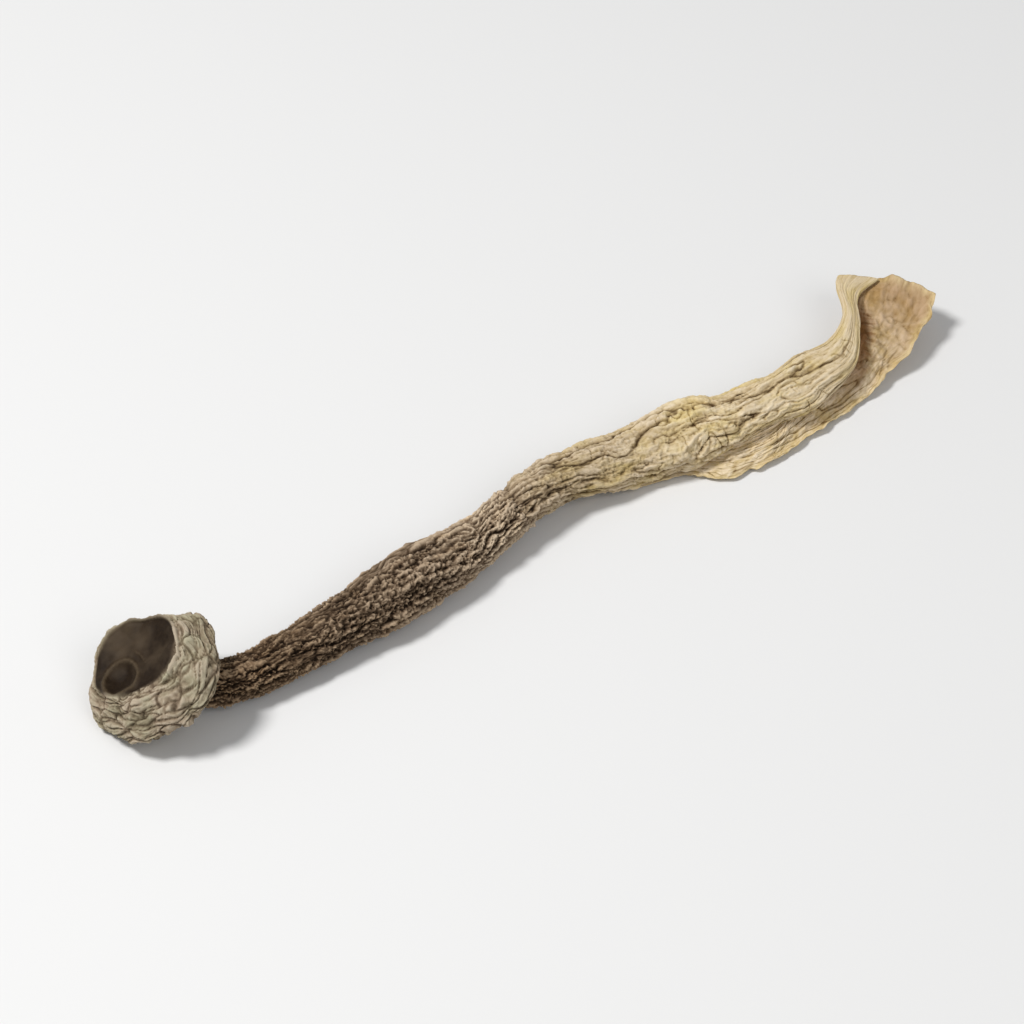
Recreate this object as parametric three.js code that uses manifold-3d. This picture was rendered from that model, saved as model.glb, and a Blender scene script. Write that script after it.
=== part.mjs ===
// A dried deer antler mushroom, lying on its side: one closed solid, in millimetres, +Z up.
// +X runs along the stem, from the small cap to the root end. The root end is a folded leaf:
// its front flap stops short, and its back leaf runs on under it to a pointed tip.
// The mushroom rests on the plane z = 0, on the rim of its cap and the underside of its root.

import * as THREE from 'three';
import { mergeVertices } from 'three/addons/utils/BufferGeometryUtils.js';
import Module from 'manifold-3d';

// Lengths along the stem.
const DARK_LENGTH = 52;        // scaly half: cap rim to the kink
const PALE_LENGTH = 43;        // fibrous half: kink to where the root end folds
const FLAP_LENGTH = 20;        // front flap of the root end
const LEAF_ROOT_LENGTH = 24;   // how far back under the stem the leaf starts

// Widths and thicknesses of the stem, from the cap to the root end.
const NECK_WIDTH = 6.2;
const NECK_THICKNESS = 5.4;
const BELLY_WIDTH = 9.2;       // thickest place of the scaly half
const BELLY_THICKNESS = 8.0;
const KINK_WIDTH = 6.6;
const KINK_THICKNESS = 5.8;
const SHOULDER_WIDTH = 9.6;    // flat place halfway along the fibrous half
const SHOULDER_THICKNESS = 7.0;
const FLAP_WIDTH = 7.6;
const FLAP_THICKNESS = 4.6;
const LEAF_WIDTH = 8.7;
const LEAF_END_WIDTH = 14.2;   // slanting end of the leaf, from its corner to its tip
const LEAF_END_BULGE = 1.6;    // how far that end bows out between the two
const LEAF_THICKNESS = 1.5;
const LEAF_EDGE = 0.45;        // share of the thickness left at the leaf's two edges
const FURROW_DEPTH = 0.35;     // lengthwise furrows of the stem
const FURROWS = 5;

// Heights of the underside above the plane it lies on.
const NECK_LIFT = 1.0;
const BELLY_LIFT = 0.7;
const KINK_LIFT = 1.9;
const FLAP_LIFT = 2.4;         // where the front flap leaves the back leaf
const CORNER_LIFT = 7.8;       // raised corner where flap and leaf end together
const TIP_LIFT = 5.4;
const REST_FLAT = 0.45;        // how far the underside is pressed flat where it touches

// Cap: a shallow drum with a dished top and a rolled rim, bent up from the stem.
const CAP_RADIUS = 9.8;
const CAP_DISH_RADIUS = 6.4;   // shoulder where the dish meets the side
const CAP_HEIGHT = 4.6;        // rim to shoulder, along the cap's axis
const CAP_DISH_DEPTH = 0.9;
const CAP_RIM = 1.3;           // height of the rolled rim
const CAP_ROOF = 2.2;          // flesh between the dish and the gills
const CAP_TILT = 32;           // degrees: cap axis from the vertical, away from the stem
const CAP_TURN = 162;          // degrees: heading of that tilt, from +X towards +Y
const CAP_OVERHANG = 4.8;      // cap axis to where the neck comes out of its shade, along X
const CAP_SWAY = -4.0;         // cap axis to the middle plane, along Y

// Fineness of the surfaces.
const STEM_SIDES = 24;
const STEM_RINGS = 90;
const LEAF_STEPS = 40;
const LEAF_STRIPS = 8;
const CAP_SIDES = 44;

const MERGE_DISTANCE = 1e-4;
const SLAB_DEPTH = 5;
const RADIANS = Math.PI / 180;
const UP = new THREE.Vector3(0, 0, 1);

// ---------------------------------------------------------------- solids and meshes

const wasm = await Module();
wasm.setup();

// A three.js geometry as a closed solid that can be joined.
function solidOf(geometry) {
  const bare = geometry.clone();
  bare.deleteAttribute('normal');
  bare.deleteAttribute('uv');
  const merged = mergeVertices(bare, MERGE_DISTANCE);
  const mesh = new wasm.Mesh({
    numProp: 3,
    vertProperties: new Float32Array(merged.attributes.position.array),
    triVerts: new Uint32Array(merged.index.array),
  });
  return new wasm.Manifold(mesh);
}

// A joined solid as a three.js geometry.
function geometryOf(solid) {
  const mesh = solid.getMesh();
  const geometry = new THREE.BufferGeometry();
  geometry.setAttribute('position', new THREE.BufferAttribute(mesh.vertProperties, 3));
  geometry.setIndex(new THREE.BufferAttribute(mesh.triVerts, 1));
  geometry.computeVertexNormals();
  return geometry;
}

// Moves every vertex of a geometry to the place that a function gives for it.
function reshape(geometry, place) {
  const position = geometry.attributes.position;
  const vertex = new THREE.Vector3();
  for (let i = 0; i < position.count; i += 1) {
    vertex.fromBufferAttribute(position, i);
    const moved = place(vertex);
    position.setXYZ(i, moved.x, moved.y, moved.z);
  }
  return geometry;
}

// ---------------------------------------------------------------- sections along the stem

// One cross-section: how far along it is, how far it sways to the side, the gap under it, its
// width and thickness, the roll that raises its far side and the skew that slants it, in degrees.
function section(along, sway, lift, width, thickness, roll, skew) {
  const across = new THREE.Vector3(
    Math.sin(skew * RADIANS) * Math.cos(roll * RADIANS),
    Math.cos(skew * RADIANS) * Math.cos(roll * RADIANS),
    Math.sin(roll * RADIANS),
  );
  const halfHeight = Math.hypot(across.z * width, Math.cos(roll * RADIANS) * thickness) / 2;
  const centre = new THREE.Vector3(along, sway, lift + halfHeight);
  return { centre, half: across.multiplyScalar(width / 2), thickness };
}

// A smooth run of sections: the centre, half-width and thickness at a share of its length.
function runOf(sections) {
  const centres = new THREE.CatmullRomCurve3(sections.map((s) => s.centre));
  const halves = new THREE.CatmullRomCurve3(sections.map((s) => s.half));
  const depths = new THREE.CatmullRomCurve3(
    sections.map((s) => new THREE.Vector3(s.thickness, 0, 0)),
  );
  for (const curve of [centres, halves, depths]) {
    curve.curveType = 'catmullrom';
  }
  return (share) => {
    const t = THREE.MathUtils.clamp(share, 0, 1);
    const half = halves.getPoint(t);
    const along = centres.getTangent(t);
    const upright = new THREE.Vector3().crossVectors(along, half).normalize();
    return { centre: centres.getPoint(t), half, upright, thickness: depths.getPoint(t).x };
  };
}

// ---------------------------------------------------------------- cap

const capAxis = new THREE.Vector3(
  Math.sin(CAP_TILT * RADIANS) * Math.cos(CAP_TURN * RADIANS),
  Math.sin(CAP_TILT * RADIANS) * Math.sin(CAP_TURN * RADIANS),
  Math.cos(CAP_TILT * RADIANS),
);

// The rim is a little angular: its radius swells and pinches as it goes round.
function rimSwell(angle) {
  return 1 + 0.05 * Math.cos(2 * angle + 1.6) + 0.03 * Math.cos(5 * angle - 0.8);
}

// The rim also rises and falls along the cap's axis.
function rimDroop(angle) {
  return 0.35 * Math.cos(3 * angle + 1.1);
}

// The cap with its rim plane through a given centre, tilted about that centre.
function capGeometry(centre) {
  const underside = CAP_HEIGHT - CAP_DISH_DEPTH - CAP_ROOF;
  const inner = CAP_RADIUS - CAP_RIM;
  const profile = [
    new THREE.Vector2(0, underside),
    new THREE.Vector2(inner * 0.6, underside * 0.8),
    new THREE.Vector2(inner, CAP_RIM * 0.4),
    new THREE.Vector2(inner + CAP_RIM * 0.3, 0),
    new THREE.Vector2(CAP_RADIUS - CAP_RIM * 0.2, CAP_RIM * 0.1),
    new THREE.Vector2(CAP_RADIUS, CAP_RIM * 0.7),
    new THREE.Vector2(THREE.MathUtils.lerp(CAP_DISH_RADIUS, CAP_RADIUS, 0.62), CAP_HEIGHT * 0.62),
    new THREE.Vector2(THREE.MathUtils.lerp(CAP_DISH_RADIUS, CAP_RADIUS, 0.16), CAP_HEIGHT * 0.95),
    new THREE.Vector2(CAP_DISH_RADIUS * 0.92, CAP_HEIGHT),
    new THREE.Vector2(CAP_DISH_RADIUS * 0.6, CAP_HEIGHT - CAP_DISH_DEPTH * 0.8),
    new THREE.Vector2(0, CAP_HEIGHT - CAP_DISH_DEPTH),
  ];
  const geometry = new THREE.LatheGeometry(profile, CAP_SIDES);
  geometry.rotateX(Math.PI / 2);
  reshape(geometry, (v) => {
    const angle = Math.atan2(v.y, v.x);
    const reach = Math.hypot(v.x, v.y) / CAP_RADIUS;
    const swell = rimSwell(angle);
    return new THREE.Vector3(v.x * swell, v.y * swell, v.z + rimDroop(angle) * reach * reach);
  });
  geometry.applyQuaternion(new THREE.Quaternion().setFromUnitVectors(UP, capAxis));
  geometry.translate(centre.x, centre.y, centre.z);
  return geometry;
}

// The cap's centre stands just high enough for its tilted rim to touch the plane z = 0.
const loweredCap = capGeometry(new THREE.Vector3());
loweredCap.computeBoundingBox();
const capCentre = new THREE.Vector3(-CAP_OVERHANG, CAP_SWAY, -loweredCap.boundingBox.min.z);

// ---------------------------------------------------------------- stem and front flap

const kinkAt = DARK_LENGTH;
const foldAt = kinkAt + PALE_LENGTH;
const cornerAt = foldAt + FLAP_LENGTH;

// The neck starts on the cap's axis, in the flesh above the gills, and bends over to the stem.
const neckTop = capCentre.clone().addScaledVector(capAxis, CAP_HEIGHT - CAP_ROOF);
const neckBend = capCentre.clone().addScaledVector(capAxis, -1.5);
const neckHalf = new THREE.Vector3(0, NECK_WIDTH * 0.45, 0);

const stemRun = runOf([
  { centre: neckTop, half: neckHalf, thickness: NECK_THICKNESS },
  { centre: neckBend, half: neckHalf, thickness: NECK_THICKNESS },
  section(DARK_LENGTH * 0.06, -7.4, NECK_LIFT, NECK_WIDTH, NECK_THICKNESS, 0, 0),
  section(DARK_LENGTH * 0.2, -8.0, NECK_LIFT, NECK_WIDTH * 1.05, NECK_THICKNESS, 0, 0),
  section(DARK_LENGTH * 0.4, -7.7, BELLY_LIFT, BELLY_WIDTH * 0.84, BELLY_THICKNESS * 0.85, 5, 0),
  section(DARK_LENGTH * 0.64, -6.4, BELLY_LIFT, BELLY_WIDTH, BELLY_THICKNESS, 8, 0),
  section(DARK_LENGTH * 0.82, -5.5, BELLY_LIFT, KINK_WIDTH * 1.12, KINK_THICKNESS * 1.1, 6, 0),
  section(kinkAt, -3.3, KINK_LIFT, KINK_WIDTH, KINK_THICKNESS, 0, 0),
  section(kinkAt + PALE_LENGTH * 0.17, -2.2, KINK_LIFT, KINK_WIDTH, KINK_THICKNESS, 8, 4),
  section(kinkAt + PALE_LENGTH * 0.4, -2.8, 0.9, SHOULDER_WIDTH * 0.8, KINK_THICKNESS, 16, 10),
  section(kinkAt + PALE_LENGTH * 0.62, -3.7, 0, SHOULDER_WIDTH, SHOULDER_THICKNESS, 18, 22),
  section(kinkAt + PALE_LENGTH * 0.82, -5.4, 1.2, FLAP_WIDTH, SHOULDER_THICKNESS * 0.86, 22, 22),
  section(foldAt, -6.0, FLAP_LIFT, FLAP_WIDTH, FLAP_THICKNESS, 19, 14),
  section(foldAt + FLAP_LENGTH * 0.27, -5.7, 3.1, FLAP_WIDTH * 1.1, FLAP_THICKNESS * 0.85, 18, 12),
  section(foldAt + FLAP_LENGTH * 0.6, -5.0, 4.4, FLAP_WIDTH * 0.82, FLAP_THICKNESS * 0.6, 19, -14),
  section(foldAt + FLAP_LENGTH * 0.84, -1.6, 6.1, FLAP_WIDTH * 0.52, FLAP_THICKNESS * 0.45, 16, -14),
  section(cornerAt, 4.2, CORNER_LIFT, FLAP_WIDTH * 0.28, FLAP_THICKNESS * 0.35, 4, -28),
]);

// A capped cylinder carried along the run: its circle becomes each place's furrowed ellipse.
function stemGeometry() {
  const geometry = new THREE.CylinderGeometry(1, 1, 1, STEM_SIDES, STEM_RINGS);
  return reshape(geometry, (v) => {
    const { centre, half, upright, thickness } = stemRun(v.y + 0.5);
    const angle = Math.atan2(v.z, v.x);
    const furrow = 1 - FURROW_DEPTH / SHOULDER_WIDTH * (1 + Math.cos(FURROWS * angle + 4 * v.y));
    centre.addScaledVector(half, -v.x * furrow);
    centre.addScaledVector(upright, v.z * furrow * thickness / 2);
    return centre;
  });
}

// ---------------------------------------------------------------- back leaf

function leafSection(along, sway, lift, width, roll, skew) {
  return section(along, sway, lift, width, LEAF_THICKNESS, roll, skew);
}

const leafRun = runOf([
  leafSection(foldAt - LEAF_ROOT_LENGTH, -4.6, 0.2, LEAF_WIDTH * 0.4, 12, 30),
  leafSection(foldAt - LEAF_ROOT_LENGTH * 0.68, -6.2, 0, LEAF_WIDTH * 0.6, 17, 50),
  leafSection(foldAt - LEAF_ROOT_LENGTH * 0.44, -9.0, 0, LEAF_WIDTH * 0.72, 18, 58),
  leafSection(foldAt - LEAF_ROOT_LENGTH * 0.2, -10.0, 0, LEAF_WIDTH * 0.88, 18, 50),
  leafSection(foldAt, -8.7, 0.1, LEAF_WIDTH * 0.95, 19, 34),
  leafSection(foldAt + FLAP_LENGTH * 0.27, -7.3, 0.1, LEAF_WIDTH, 22, 15),
  leafSection(foldAt + FLAP_LENGTH * 0.66, -5.6, 0.7, LEAF_WIDTH * 1.05, 27, -11),
  leafSection(cornerAt - FLAP_LENGTH * 0.03, -3.0, 2.3, LEAF_END_WIDTH * 0.8, 21, -33),
  leafSection(cornerAt + LEAF_END_WIDTH * 0.25, -0.2, 3.9, LEAF_END_WIDTH * 0.96, 15, -38),
  leafSection(cornerAt + LEAF_END_WIDTH * 0.44, 2.1, TIP_LIFT, LEAF_END_WIDTH, 11, -47),
]);

// A thin slab whose length follows the run, from its near edge to its far edge.
function leafGeometry() {
  const geometry = new THREE.BoxGeometry(1, 1, 1, LEAF_STEPS, LEAF_STRIPS, 1);
  return reshape(geometry, (v) => {
    const { centre, half, upright, thickness } = leafRun(v.x + 0.5);
    const nearEdge = 1 - (2 * v.y) ** 2;
    const outward = new THREE.Vector3().crossVectors(half, upright).normalize();
    const bulge = LEAF_END_BULGE * nearEdge * Math.max(0, 2 * v.x) ** 4;
    centre.addScaledVector(half, 2 * v.y);
    centre.addScaledVector(outward, bulge);
    centre.addScaledVector(upright, v.z * thickness * (LEAF_EDGE + (1 - LEAF_EDGE) * nearEdge));
    return centre;
  });
}

// ---------------------------------------------------------------- the whole mushroom

const joined = solidOf(stemGeometry())
  .add(solidOf(leafGeometry()))
  .add(solidOf(capGeometry(capCentre)));

// It dried lying down, so what would reach below the resting plane is pressed flat.
const slabLength = 2 * (CAP_OVERHANG + CAP_RADIUS + cornerAt + LEAF_END_WIDTH);
const slab = new THREE.BoxGeometry(slabLength, slabLength, SLAB_DEPTH);
slab.translate(0, 0, REST_FLAT - SLAB_DEPTH / 2);
const geometry = geometryOf(joined.subtract(solidOf(slab)));

// The origin is under the middle of the mushroom, on the surface it rests on.
geometry.computeBoundingBox();
const box = geometry.boundingBox;
geometry.translate(-(box.min.x + box.max.x) / 2, -(box.min.y + box.max.y) / 2, -box.min.z);

const flesh = new THREE.MeshStandardMaterial({ color: 0xb4a078, roughness: 0.85, metalness: 0 });
const mushroom = new THREE.Mesh(geometry, flesh);
mushroom.name = 'mushroom';

const part = new THREE.Group();
part.add(mushroom);

export default part;
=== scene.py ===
"""A dried deer antler mushroom lying on its side: a small dished cap with gills, a long stem that
is scaly and dark towards the cap and fibrous and pale towards the root, and a folded root end.

Shapes are worked out in millimetres and put into the meshes in metres. Each surface is a plain
form pushed in and out along its normals by patterns of noise. What a material needs to know of a
place, such as how far it stands out, goes with it as a point attribute."""

import math

import bpy
import numpy as np
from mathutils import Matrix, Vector


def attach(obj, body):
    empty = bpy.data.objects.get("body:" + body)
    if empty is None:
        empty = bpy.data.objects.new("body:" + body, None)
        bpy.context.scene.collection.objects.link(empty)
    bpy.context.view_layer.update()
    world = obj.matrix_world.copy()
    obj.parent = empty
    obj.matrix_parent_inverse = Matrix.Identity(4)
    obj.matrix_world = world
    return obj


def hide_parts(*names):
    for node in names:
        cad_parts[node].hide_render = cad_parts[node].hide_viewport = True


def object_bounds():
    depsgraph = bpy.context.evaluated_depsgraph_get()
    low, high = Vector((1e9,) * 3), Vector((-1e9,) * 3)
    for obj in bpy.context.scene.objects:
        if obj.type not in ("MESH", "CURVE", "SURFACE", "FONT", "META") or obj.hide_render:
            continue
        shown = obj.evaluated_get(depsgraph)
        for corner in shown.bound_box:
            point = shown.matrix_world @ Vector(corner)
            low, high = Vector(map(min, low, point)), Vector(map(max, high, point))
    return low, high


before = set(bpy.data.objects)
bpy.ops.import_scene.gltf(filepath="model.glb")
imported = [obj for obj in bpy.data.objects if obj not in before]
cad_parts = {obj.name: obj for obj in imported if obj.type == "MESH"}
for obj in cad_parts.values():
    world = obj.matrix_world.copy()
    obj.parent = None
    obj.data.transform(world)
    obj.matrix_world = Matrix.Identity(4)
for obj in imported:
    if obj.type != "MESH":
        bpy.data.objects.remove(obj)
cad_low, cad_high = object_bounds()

MM = 0.001

# ------------------------------------------------------------------ sizes, in millimetres

DARK_LENGTH = 52
PALE_LENGTH = 43
FLAP_LENGTH = 20
LEAF_ROOT_LENGTH = 24
NECK_WIDTH, NECK_THICKNESS = 6.2, 5.4
BELLY_WIDTH, BELLY_THICKNESS = 9.2, 8.0
KINK_WIDTH, KINK_THICKNESS = 6.6, 5.8
SHOULDER_WIDTH, SHOULDER_THICKNESS = 9.6, 7.0
FLAP_WIDTH, FLAP_THICKNESS = 7.6, 4.6
LEAF_WIDTH, LEAF_END_WIDTH, LEAF_THICKNESS = 8.7, 14.2, 1.3
LEAF_END_BULGE = 1.6
NECK_LIFT, BELLY_LIFT, KINK_LIFT, FLAP_LIFT = 1.0, 0.7, 1.9, 2.4
CORNER_LIFT, TIP_LIFT = 7.8, 5.4
REST_FLAT = 0.45                        # how much of the underside is pressed flat

CAP_RADIUS, CAP_DISH_RADIUS = 9.8, 6.4
CAP_HEIGHT, CAP_DISH_DEPTH, CAP_RIM, CAP_ROOF = 4.6, 0.9, 1.3, 2.2
CAP_TILT, CAP_TURN = 32, 162            # degrees
CAP_OVERHANG, CAP_SWAY = 4.8, -4.0

KINK_AT = DARK_LENGTH
FOLD_AT = KINK_AT + PALE_LENGTH
CORNER_AT = FOLD_AT + FLAP_LENGTH
KINK_SECTION, FLAP_SECTION = 7, 10      # rows of stem_sections

# ------------------------------------------------------------------ where the details are

GILLS = 84
GILLS_START = (2.2, 3.2)                # radii between which they deepen
GILLS_EDGE, DISH_EDGE = (3.0, 3.9), (8.1, 8.8)  # in control points along the cap's outline
LIP_AT, LIP_REACH, LIP_TURN = 8.45, 0.2, -0.1   # likewise, and radians
CAP_GIRTH = 7.5                         # radius of the circle that the side's patterns go round
DISH_SHIFT, DISH_TURN = 1.5, 1.5        # millimetres, radians
DIMPLE_AT = (-3.2, 1.5)
DIMPLE_OVAL = ((0.5, 0.8), (0.66, -0.55))
DIMPLE_SIZE = 0.9
RING_AT, RING_REACH = 2.7, 0.42         # in dimple sizes from its middle
OUTER_RING_AT, OUTER_RING_REACH = 4.2, 0.3

STEM_GIRTH = 4.0                        # radius of the circle that the stem's patterns go round
DARK_OVERLAP, PALE_OVERLAP = 0.42, 0.45  # in sections past the kink, and before it
FRAYED_FROM, FRAYED_TO = KINK_AT - 17, KINK_AT - 3
PLANK_TURN = 0.5                        # radians
PLANK_FROM, PLANK_TO = (21, 27), (42, 47)
LIP_DRAWN_IN, START_DRAWN_IN, END_DRAWN_IN = 0.42, 0.2, 0.6  # shares of the way to the middle
WORN_FROM, WORN_TO = KINK_AT + 3, KINK_AT + 16
END_SHARE = 0.007                       # of the stem's length, rounded off at the flap's end

LEAF_GIRTH = 5                          # half the width that the leaf's patterns cross
LEAF_EDGE = (0.7, 1.0)                  # across it, as cosines
LEAF_END, LEAF_ROLL = (0.72, 1.0), (0.955, 1.0)  # along it, as shares of its length
SPILL_AT, SPILL_REACH, SPILL = 15.5, 3.2, 1.3
FLAP_STEPS = 60
PRESSED_FROM, FLAP_SHADE_TO = (38, 46), (48, 56)  # in those steps along the flap
FLAP_CLEARANCE = 0.15

TRIAL_STEPS = 3000                      # steps that a curve's length is measured in
OUTLINE_STEPS = 2000


# ------------------------------------------------------------------ noise

PRIMES = (374761393, 668265263, 1440662683, 974634777)
FOLDS = ((13, 1274126177), (15, 747796405))
WORD, FRACTION = 0xFFFFFFFF, 0xFFFFFF
NOISE_GAIN = 1.7                        # brings the sum of slopes to about -1 to 1


def hashed(cell, seed):
    """A repeatable number from 0 to 1 for each lattice corner: its three whole numbers and the
    seed are multiplied by large primes, added, and folded over themselves three times."""
    x, y, z = np.moveaxis(cell, -1, 0)
    h = (x * PRIMES[0] + y * PRIMES[1] + z * PRIMES[2] + seed * PRIMES[3]) & WORD
    for shift, prime in FOLDS:
        h = ((h ^ (h >> shift)) * prime) & WORD
    return ((h ^ (h >> 16)) & FRACTION) / FRACTION


def noise(place, seed):
    """Gradient noise from about -1 to 1: a random slope at each lattice corner, and between the
    corners the sum of slope times distance, blended by a quintic."""
    cell = np.floor(place).astype(np.int64)
    part = place - cell
    blend = part ** 3 * (part * (part * 6 - 15) + 10)
    total = 0
    for corner in range(8):
        step = np.array([corner & 1, corner >> 1 & 1, corner >> 2])
        slope = np.stack([hashed(cell + step, seed + 7 * k) for k in range(3)], -1) * 2 - 1
        share = np.prod(np.where(step, blend, 1 - blend), -1)
        total = total + share * (slope * (part - step)).sum(-1)
    return total * NOISE_GAIN


def layered(place, octaves, seed):
    """Noise added to itself at twice the fineness and half the strength, several times."""
    return sum(noise(place * 2 ** k, seed + 31 * k) / 2 ** k for k in range(octaves))


def ridged(place, octaves, seed):
    """Sharp crests, from 0 to 1: one minus the size of the noise, layered."""
    crests = [(1 - np.abs(noise(place * 2 ** k, seed + 17 * k))) / 2 ** k for k in range(octaves)]
    return sum(crests) / (2 - 2 ** (1 - octaves))


def billowed(place, octaves, seed):
    """Rounded lumps with sharp creases between them, from 0: twice the size of the noise,
    layered."""
    lumps = [np.abs(noise(place * 2 ** k, seed + 13 * k)) / 2 ** k for k in range(octaves)]
    return sum(lumps) * 2


def swirled(place, size, seed):
    """Three noises of one size side by side, to push a place about before a pattern reads it."""
    return np.stack([noise(place / size, seed + 3 * k) for k in range(3)], -1)


def flakes(place, seed):
    """Flat flakes: one point stands at a random place in each lattice cell. The border is the
    second nearest distance less the nearest, 0 on the border, and the level is a random number
    from 0 to 1 for the nearest point."""
    cell = np.floor(place).astype(np.int64)
    near = np.full(place.shape[:-1], 9.0)
    second, level = near.copy(), 0 * near
    for k in range(27):
        step = np.array([k % 3 - 1, k // 3 % 3 - 1, k // 9 - 1])
        spot = np.stack([hashed(cell + step, seed + 5 * j) for j in range(3)], -1)
        reach = np.linalg.norm(cell + step + spot - place, axis=-1)
        level = np.where(reach < near, hashed(cell + step, seed + 23), level)
        second = np.minimum(second, np.maximum(near, reach))
        near = np.minimum(near, reach)
    return second - near, level


def sized(place, along, across, through=None):
    """Where a pattern is read: the place over the pattern's size along the piece, its size across
    it and, if that is another, its size through it."""
    return place / np.array([along, across, across if through is None else through])


# ------------------------------------------------------------------ shares from 0 to 1

def rise(low, high, value):
    """0 below low, 1 above high, and between them three squares less two cubes of the share."""
    share = np.clip((value - low) / (high - low), 0, 1)
    return share * share * (3 - 2 * share)


def hump(middle, spread, value):
    """1 at the middle, falling off as e to the minus square of the distance in spreads."""
    return np.exp(-((value - middle) / spread) ** 2)


def rounded(share):
    """A quarter circle from 0 to 1: the root of one less the square of what is left."""
    return np.sqrt(1 - (1 - np.clip(share, 0, 1)) ** 2)


EVEN_SPREAD = 0.22
FURROW_REACH = 4                        # cells of the grid


def evened(values):
    """Values moved and scaled until their mean is a half and their deviation is the spread."""
    return 0.5 + EVEN_SPREAD * (values - values.mean()) / values.std()


def furrowed(push):
    """How far each place stands above its surroundings on the grid: three quarters of the push
    less its mean over a window that reaches as many cells each way, evened, and a quarter of the
    push, evened."""
    blurred = push
    for axis in (0, 1):
        blurred = sum(np.roll(blurred, k, axis) for k in range(-FURROW_REACH, FURROW_REACH + 1))
        blurred = blurred / (2 * FURROW_REACH + 1)
    return np.clip(0.75 * evened(push - blurred) + 0.25 * evened(push), 0, 1)


# ------------------------------------------------------------------ grids and meshes

def unit(vectors):
    """Vectors over their own length."""
    return vectors / np.maximum(np.linalg.norm(vectors, axis=-1, keepdims=True), 1e-9)


def distances(points):
    """How far along a line of points each one is: the lengths of the steps, added up."""
    steps = np.linalg.norm(np.diff(points, axis=0), axis=1)
    return np.concatenate([[0], np.cumsum(steps)])


def joined_rows(rows, share):
    """Rows of numbers joined by a Catmull-Rom curve, read at shares from 0 to 1 of it."""
    knots = np.vstack([2 * rows[0] - rows[1], rows, 2 * rows[-1] - rows[-2]])
    place = np.clip(share, 0, 1) * (len(rows) - 1)
    first = np.minimum(place.astype(int), len(rows) - 2)
    f = (place - first)[..., None]
    a, b, c, d = (knots[first + k] for k in range(4))
    return (2 * b + (c - a) * f + (2 * a - 5 * b + 4 * c - d) * f ** 2
            + (3 * b - a - 3 * c + d) * f ** 3) / 2


def normals(points):
    """Outward normals of a grid that closes round its columns: the cross product of the steps
    round it and along it."""
    along = np.gradient(points, axis=0)
    around = (np.roll(points, -1, 1) - np.roll(points, 1, 1)) / 2
    return unit(np.cross(around, along))


def pushed(points, push):
    """Points moved along their normals."""
    return points + normals(points) * push[..., None]


def drawn_in(points, share):
    """Points moved towards the middle of their own row by a share of the way."""
    return points + (points.mean(1, keepdims=True) - points) * share[..., None]


def put_in_mesh(name, points, **fields):
    """A closed grid as a mesh in metres: columns wrap round, and the first and last rows are
    closed by a strip that joins each column to the one opposite it. Each field becomes a point
    attribute."""
    rows, columns = points.shape[:2]
    vertices = points.reshape(-1, 3) * MM
    corner = np.arange(rows * columns).reshape(rows, columns)
    beside = np.roll(corner, -1, 1)
    quads = np.stack([corner[:-1], beside[:-1], beside[1:], corner[1:]], -1).reshape(-1, 4)
    step = np.arange(1, columns // 2 - 1)
    strip = np.stack([step, step + 1, columns - step - 1, columns - step], -1)
    last = np.array([columns // 2 - 1, columns // 2, columns // 2 + 1])
    tips = np.stack([np.array([0, 1, columns - 1]), last])
    final = (rows - 1) * columns
    quads = np.vstack([quads, strip[:, ::-1], strip + final])
    tips = np.vstack([tips[:, ::-1], tips + final])
    loops = np.concatenate([quads.ravel(), tips.ravel()]).astype(np.int32)
    sizes = np.concatenate([np.full(len(quads), 4), np.full(len(tips), 3)])
    mesh = bpy.data.meshes.new(name)
    mesh.vertices.add(len(vertices))
    mesh.vertices.foreach_set("co", vertices.ravel())
    mesh.loops.add(len(loops))
    mesh.loops.foreach_set("vertex_index", loops)
    mesh.polygons.add(len(sizes))
    mesh.polygons.foreach_set("loop_start", (np.cumsum(sizes) - sizes).astype(np.int32))
    mesh.update(calc_edges=True)
    mesh.polygons.foreach_set("use_smooth", np.ones(len(sizes), bool))
    for field, values in fields.items():
        kind, key = ("FLOAT_VECTOR", "vector") if values.ndim == 3 else ("FLOAT", "value")
        values = np.broadcast_to(values, (rows, columns, *values.shape[2:]))
        attribute = mesh.attributes.new(field, kind, "POINT")
        attribute.data.foreach_set(key, values.ravel().astype(np.float32))
    mesh.validate()
    piece = bpy.data.objects.new(name, mesh)
    bpy.context.scene.collection.objects.link(piece)
    return piece


def turned_to(axis):
    """The rotation that takes +Z to an axis: identity plus the cross matrix of Z and the axis
    plus that matrix squared over one plus their cosine."""
    x, y, z = axis
    cross = np.array([[0, 0, x], [0, 0, y], [-x, -y, 0]])
    return np.eye(3) + cross + cross @ cross / (1 + z)


# ------------------------------------------------------------------ cap

cap_axis = np.array([
    math.sin(math.radians(CAP_TILT)) * math.cos(math.radians(CAP_TURN)),
    math.sin(math.radians(CAP_TILT)) * math.sin(math.radians(CAP_TURN)),
    math.cos(math.radians(CAP_TILT)),
])


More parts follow.
